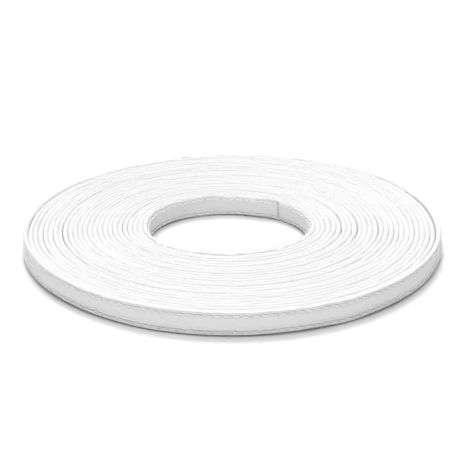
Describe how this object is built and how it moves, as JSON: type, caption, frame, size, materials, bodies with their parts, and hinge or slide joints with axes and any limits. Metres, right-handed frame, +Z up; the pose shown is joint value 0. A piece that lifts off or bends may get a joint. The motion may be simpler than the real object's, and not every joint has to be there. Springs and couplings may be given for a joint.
{
  "type": "grip tape roll",
  "caption": "Flat coreless roll of narrow padded fabric tape with stitched edges, both ends free to peel, wound round an open bore.",
  "frame": {"origin": "on the winding axis, in the plane that the roll rests on", "axes": "+Z up along the winding axis; +Y points to the back, where the loose outer end lies; +X to the right"},
  "size_m": [0.2006, 0.202, 0.0104],
  "materials": {
    "casing": "white fine woven cotton",
    "filler": "off-white felt",
    "thread": "white twisted polyester thread"
  },
  "bodies": {
    "roll": {"roll_casing": "casing", "roll_filler": "filler", "roll_upper_needle_thread": "thread", "roll_lower_needle_thread": "thread", "roll_upper_bobbin_thread": "thread", "roll_lower_bobbin_thread": "thread"},
    "outer_end_1": {"outer_end_1_casing": "casing", "outer_end_1_filler": "filler", "outer_end_1_upper_thread": "thread", "outer_end_1_lower_thread": "thread"},
    "outer_end_2": {"outer_end_2_casing": "casing", "outer_end_2_filler": "filler", "outer_end_2_upper_thread": "thread", "outer_end_2_lower_thread": "thread"},
    "outer_end_3": {"outer_end_3_casing": "casing", "outer_end_3_filler": "filler", "outer_end_3_upper_thread": "thread", "outer_end_3_lower_thread": "thread"},
    "outer_end_4": {"outer_end_4_casing": "casing", "outer_end_4_filler": "filler", "outer_end_4_upper_thread": "thread", "outer_end_4_lower_thread": "thread"},
    "outer_end_5": {"outer_end_5_casing": "casing", "outer_end_5_filler": "filler", "outer_end_5_upper_thread": "thread", "outer_end_5_lower_thread": "thread"},
    "outer_end_6": {"outer_end_6_casing": "casing", "outer_end_6_filler": "filler", "outer_end_6_upper_thread": "thread", "outer_end_6_lower_thread": "thread"},
    "inner_end_1": {"inner_end_1_casing": "casing", "inner_end_1_filler": "filler", "inner_end_1_upper_thread": "thread", "inner_end_1_lower_thread": "thread"},
    "inner_end_2": {"inner_end_2_casing": "casing", "inner_end_2_filler": "filler", "inner_end_2_upper_thread": "thread", "inner_end_2_lower_thread": "thread"},
    "inner_end_3": {"inner_end_3_casing": "casing", "inner_end_3_filler": "filler", "inner_end_3_upper_thread": "thread", "inner_end_3_lower_thread": "thread"}
  },
  "joints": [
    {"name": "outer_end_peel", "type": "hinge", "parent": "roll", "child": "outer_end_1", "pos_m": [0.08496, 0.05518, 0.0052], "axis": [0, 0, -1], "range_deg": [0, 20]},
    {"name": "outer_end_peel_2", "type": "hinge", "parent": "outer_end_1", "child": "outer_end_2", "pos_m": [0.07169, 0.07169, 0.0052], "axis": [0, 0, -1], "range_deg": [0, 20]},
    {"name": "outer_end_peel_3", "type": "hinge", "parent": "outer_end_2", "child": "outer_end_3", "pos_m": [0.05527, 0.0851, 0.0052], "axis": [0, 0, -1], "range_deg": [0, 20]},
    {"name": "outer_end_peel_4", "type": "hinge", "parent": "outer_end_3", "child": "outer_end_4", "pos_m": [0.03639, 0.09481, 0.0052], "axis": [0, 0, -1], "range_deg": [0, 20]},
    {"name": "outer_end_peel_5", "type": "hinge", "parent": "outer_end_4", "child": "outer_end_5", "pos_m": [0.0159, 0.10039, 0.0052], "axis": [0, 0, -1], "range_deg": [0, 20]},
    {"name": "outer_end_peel_6", "type": "hinge", "parent": "outer_end_5", "child": "outer_end_6", "pos_m": [-0.00532, 0.10158, 0.0052], "axis": [0, 0, -1], "range_deg": [0, 20]},
    {"name": "inner_end_lift", "type": "hinge", "parent": "roll", "child": "inner_end_1", "pos_m": [-0.00193, 0.03681, 0.0052], "axis": [0, 0, -1], "range_deg": [0, 18]},
    {"name": "inner_end_lift_2", "type": "hinge", "parent": "inner_end_1", "child": "inner_end_2", "pos_m": [0.00575, 0.03632, 0.0052], "axis": [0, 0, -1], "range_deg": [0, 18]},
    {"name": "inner_end_lift_3", "type": "hinge", "parent": "inner_end_2", "child": "inner_end_3", "pos_m": [0.01315, 0.03426, 0.0052], "axis": [0, 0, -1], "range_deg": [0, 18]}
  ],
  "couplings": [
    {"joint": "outer_end_peel_2", "follows": "outer_end_peel", "ratio": 1},
    {"joint": "outer_end_peel_3", "follows": "outer_end_peel", "ratio": 1},
    {"joint": "outer_end_peel_4", "follows": "outer_end_peel", "ratio": 1},
    {"joint": "outer_end_peel_5", "follows": "outer_end_peel", "ratio": 1},
    {"joint": "outer_end_peel_6", "follows": "outer_end_peel", "ratio": 1},
    {"joint": "inner_end_lift_2", "follows": "inner_end_lift", "ratio": 1},
    {"joint": "inner_end_lift_3", "follows": "inner_end_lift", "ratio": 1}
  ]
}
